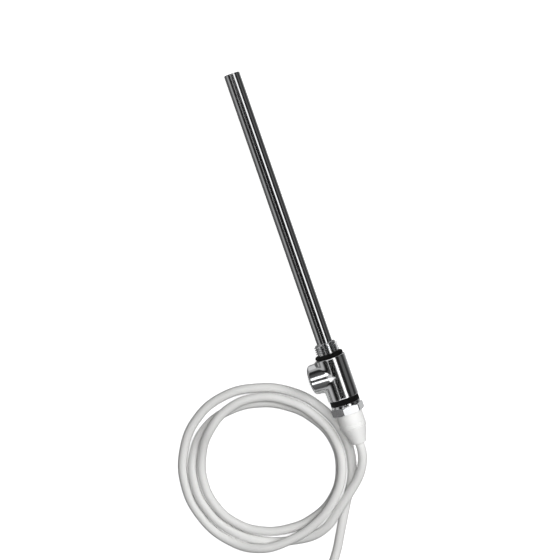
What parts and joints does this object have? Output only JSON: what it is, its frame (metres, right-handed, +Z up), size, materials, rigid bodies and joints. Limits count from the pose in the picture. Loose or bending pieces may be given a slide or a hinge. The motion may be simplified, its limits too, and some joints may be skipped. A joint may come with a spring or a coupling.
{
  "type": "immersion heating element",
  "caption": "Electric immersion heating rod screwed through a chromed tee with a side branch, black seals, a white head and a coiled mains lead that ends in a plug.",
  "frame": {"origin": "middle of the heater's own box at the surface it lies on, the free cord and its plug left out", "axes": "+Z up from the surface, +Y along the rod towards its tip, -X the side that the tee's branch points to"},
  "size_m": [0.1966, 0.4756, 0.0371],
  "materials": {
    "polished_steel": "polished",
    "chrome": "mirror polished",
    "black_rubber": "matt",
    "white_plastic": "satin",
    "cord_sheath": "matt",
    "ceramic": "matt",
    "resistance_wire": "oxidised",
    "brass": "satin",
    "tinned_metal": "satin",
    "brown_core": "satin",
    "blue_core": "satin",
    "green_core": "satin",
    "silicone": "matt"
  },
  "bodies": {
    "element": {"sheath_tube": "polished_steel", "tip_plug": "polished_steel", "union_plug": "chrome", "cap_collar": "white_plastic", "cord_boot": "white_plastic", "plug_body": "white_plastic", "plug_boot": "white_plastic", "thermal_fuse": "white_plastic", "cord_lead": "cord_sheath", "cord_coil": "cord_sheath", "cord_tail": "cord_sheath", "magnesia_fill": "ceramic", "winding_former": "ceramic", "cold_end_bead": "ceramic", "heating_wire": "resistance_wire", "earth_tab": "brass", "plug_earth_left": "brass", "plug_earth_right": "brass", "live_pin": "tinned_metal", "neutral_pin": "tinned_metal", "live_crimp": "tinned_metal", "neutral_crimp": "tinned_metal", "earth_receptacle": "tinned_metal", "cord_grip": "tinned_metal", "plug_pin_live": "tinned_metal", "plug_pin_neutral": "tinned_metal", "live_core": "brown_core", "neutral_core": "blue_core", "earth_core": "green_core", "end_seal": "silicone"},
    "seal": {"lower_gasket": "black_rubber"},
    "tee": {"tee_body": "chrome", "nipple_o_ring": "black_rubber"}
  },
  "joints": [
    {"name": "thread_travel", "type": "slide", "parent": "element", "child": "seal", "axis": [0, 0.9997, -0.0264], "range_m": [0, 0.00816]},
    {"name": "tee_turn", "type": "hinge", "parent": "seal", "child": "tee", "pos_m": [0.00422, -0.10426, 0.01416], "axis": [0, 0.9997, -0.0264], "range_deg": [0, 1620]}
  ],
  "couplings": [
    {"joint": "tee_turn", "follows": "thread_travel", "rad_per_m": 3463.7}
  ]
}
